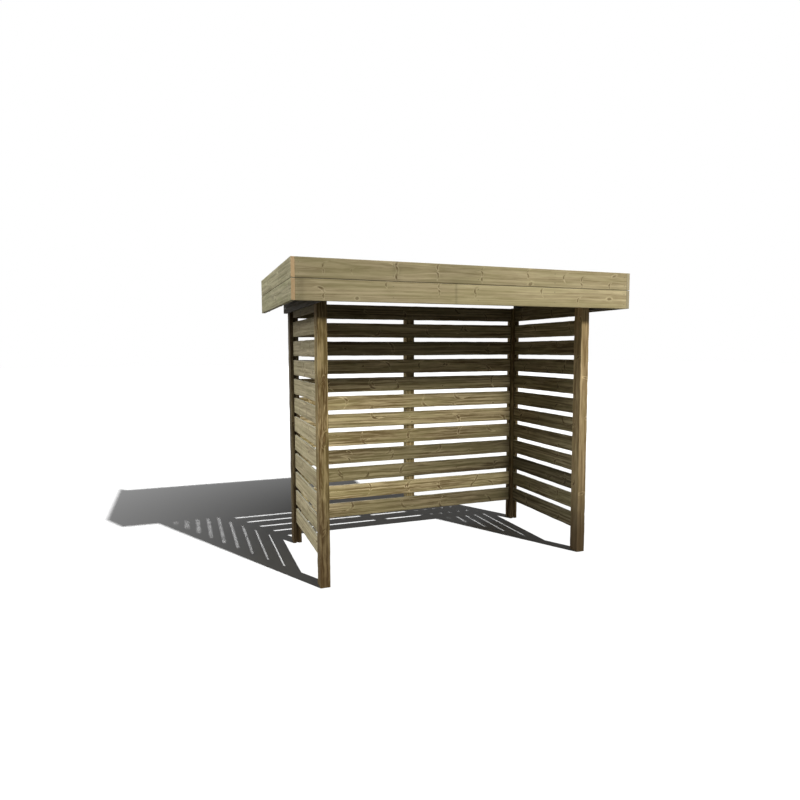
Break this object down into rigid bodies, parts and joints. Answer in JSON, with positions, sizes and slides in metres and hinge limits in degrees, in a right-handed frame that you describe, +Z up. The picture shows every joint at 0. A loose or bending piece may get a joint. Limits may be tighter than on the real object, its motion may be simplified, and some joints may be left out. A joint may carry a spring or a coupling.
{
  "type": "log store",
  "caption": "Open-fronted timber store for firewood: slatted sides and back between grooved posts, under a flat roof hidden by a fascia on three sides.",
  "frame": {"origin": "on the ground, under the middle of the roof's outline", "axes": "+Z up; +X along the open front towards the right-hand wall; +Y from the open front to the back wall"},
  "size_m": [2.476, 1.328, 2.117],
  "materials": {
    "post_timber": "rough-sawn, treated",
    "slat_timber": "rough-sawn, treated",
    "front_fascia_timber": "rough-sawn, treated",
    "side_fascia_timber": "rough-sawn, treated",
    "frame_timber": "rough-sawn, treated",
    "deck_board": "sawn boarding",
    "roof_felt": "mineral bitumen felt, matt"
  },
  "bodies": {
    "root": {"post_front_left": "post_timber", "post_front_right": "post_timber", "post_back_left": "post_timber", "post_back_right": "post_timber", "left_wall_slats": "slat_timber", "right_wall_slats": "slat_timber", "back_wall_slats": "slat_timber", "fascia_front_lower": "front_fascia_timber", "fascia_front_upper": "front_fascia_timber", "fascia_left_lower": "side_fascia_timber", "fascia_left_upper": "side_fascia_timber", "fascia_right_lower": "side_fascia_timber", "fascia_right_upper": "side_fascia_timber", "side_bearer_left": "frame_timber", "side_bearer_right": "frame_timber", "back_mid_batten": "frame_timber", "fascia_cleats_front": "frame_timber", "fascia_cleats_left": "frame_timber", "fascia_cleats_right": "frame_timber", "roof_drip_batten": "frame_timber", "roof_joist_1": "frame_timber", "roof_joist_2": "frame_timber", "roof_joist_3": "frame_timber", "roof_joist_4": "frame_timber", "roof_joist_5": "frame_timber", "roof_deck": "deck_board", "roof_felt": "roof_felt"}
  },
  "joints": []
}
